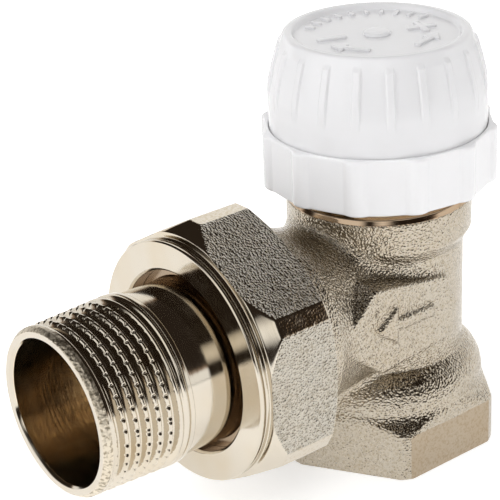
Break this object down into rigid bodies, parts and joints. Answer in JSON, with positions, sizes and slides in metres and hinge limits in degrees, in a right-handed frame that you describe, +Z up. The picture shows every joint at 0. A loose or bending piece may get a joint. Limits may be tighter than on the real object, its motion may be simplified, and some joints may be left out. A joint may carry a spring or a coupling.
{
  "type": "angle radiator valve with union tailpiece and hand cap",
  "caption": "Nickel-plated brass angle radiator valve: hexagon inlet with female thread, union nut and male tailpiece outlet, white ribbed plastic hand cap on its threaded ring.",
  "frame": {"origin": "centre of the inlet's mouth, on the inlet face", "axes": "+Z up the spindle axis, away from the inlet; +X along the outlet, out of the tailpiece"},
  "size_m": [0.0809, 0.0382, 0.0682],
  "materials": {
    "forged_nickel": "forged and blasted brass, nickel plated, satin",
    "nut_nickel": "nickel plated brass, blasted flats and polished turned faces",
    "bright_nickel": "nickel plated brass, turned and polished",
    "plain_brass": "turned brass",
    "stainless_steel": "turned stainless steel",
    "black_rubber": "matt black rubber",
    "white_plastic": "moulded white plastic, glossy"
  },
  "bodies": {
    "body": {"valve_body": "forged_nickel", "bonnet": "plain_brass", "bonnet_o_ring": "black_rubber", "gland_nut": "plain_brass", "gland_o_rings": "black_rubber", "gland_washer": "plain_brass", "guide_bush": "plain_brass", "return_spring": "stainless_steel"},
    "spindle": {"actuating_pin": "stainless_steel", "spindle": "stainless_steel", "spindle_clip": "stainless_steel", "spring_cup": "stainless_steel", "disc_holder": "plain_brass", "disc_seal": "black_rubber", "disc_screw": "plain_brass"},
    "cap_carrier": {"cap_gasket": "black_rubber"},
    "cap_ring": {"cap_ring_nut": "white_plastic"},
    "pusher": {"cap_pusher": "white_plastic"},
    "handle": {"cap_handle": "white_plastic"},
    "tail": {"tailpiece": "bright_nickel", "tailpiece_o_ring": "black_rubber"},
    "nut": {"union_nut": "nut_nickel"}
  },
  "joints": [
    {"name": "spindle_travel", "type": "slide", "parent": "body", "child": "spindle", "axis": [0, 0, 1], "range_m": [0, 0.00301], "deforming": ["return_spring"]},
    {"name": "cap_ring_travel", "type": "slide", "parent": "body", "child": "cap_carrier", "axis": [0, 0, 1], "range_m": [0, 0.00901]},
    {"name": "cap_ring_turn", "type": "hinge", "parent": "cap_carrier", "child": "cap_ring", "pos_m": [0, 0, 0.045], "axis": [0, 0, 1], "range_deg": [0, 2160]},
    {"name": "handle_lift", "type": "slide", "parent": "cap_ring", "child": "pusher", "axis": [0, 0, 1], "range_m": [0, 0.00301]},
    {"name": "handle_turn", "type": "hinge", "parent": "pusher", "child": "handle", "pos_m": [0, 0, 0.06], "axis": [0, 0, 1], "range_deg": [0, 360]},
    {"name": "union_travel", "type": "slide", "parent": "body", "child": "tail", "axis": [1, 0, 0], "range_m": [0, 0.01214]},
    {"name": "union_nut_turn", "type": "hinge", "parent": "tail", "child": "nut", "pos_m": [0.033, 0, 0.0263], "axis": [1, 0, 0], "range_deg": [0, 1890]}
  ],
  "couplings": [
    {"joint": "spindle_travel", "follows": "handle_turn", "m_per_rad": 0.00047746},
    {"joint": "handle_lift", "follows": "handle_turn", "m_per_rad": 0.00047746},
    {"joint": "cap_ring_travel", "follows": "cap_ring_turn", "m_per_rad": 0.00023873},
    {"joint": "union_travel", "follows": "union_nut_turn", "m_per_rad": 0.00036749}
  ]
}
